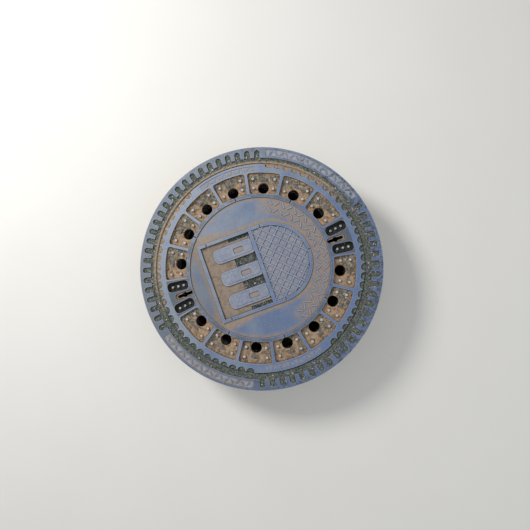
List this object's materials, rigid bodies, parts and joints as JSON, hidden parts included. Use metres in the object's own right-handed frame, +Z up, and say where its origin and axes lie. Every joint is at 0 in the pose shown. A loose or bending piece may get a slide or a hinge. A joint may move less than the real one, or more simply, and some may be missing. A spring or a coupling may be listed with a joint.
{
  "type": "manhole cover",
  "caption": "Round vented cast-iron manhole cover in a cast-iron and concrete road frame, with a lift-out sheet-steel dirt pan below.",
  "frame": {"origin": "centre of the frame's flat bed face, which is the centre of the bottom of the whole part", "axes": "+Z up, square to the road surface; +X from the centre through the first lifting slot"},
  "size_m": [0.785, 0.785, 0.16],
  "materials": {
    "frame_iron": "worn, rusty in the recesses",
    "cover_iron": "worn, rusty in the recesses",
    "concrete": "cast concrete",
    "hoop_steel": "mill scale",
    "elastomer": "matt",
    "galvanised_sheet": "hot-dip galvanised",
    "galvanised_bar": "hot-dip galvanised",
    "rivet_steel": "satin"
  },
  "bodies": {
    "frame": {"frame_head": "frame_iron", "frame_body": "concrete", "upper_hoop": "hoop_steel", "lower_hoop": "hoop_steel", "hoop_ties": "hoop_steel", "damping_ring": "elastomer"},
    "pan": {"pan_wall": "galvanised_sheet", "pan_base": "galvanised_sheet", "pan_rim": "galvanised_bar", "rim_rivets": "rivet_steel", "lifting_strap": "galvanised_bar", "strap_rivets": "rivet_steel"},
    "cover": {"cover": "cover_iron"}
  },
  "joints": [
    {"name": "pan_lift", "type": "slide", "parent": "frame", "child": "pan", "axis": [0, 0, 1], "range_m": [0, 0.3]},
    {"name": "cover_lift", "type": "slide", "parent": "pan", "child": "cover", "axis": [0, 0, 1], "range_m": [0, 0.25]}
  ]
}
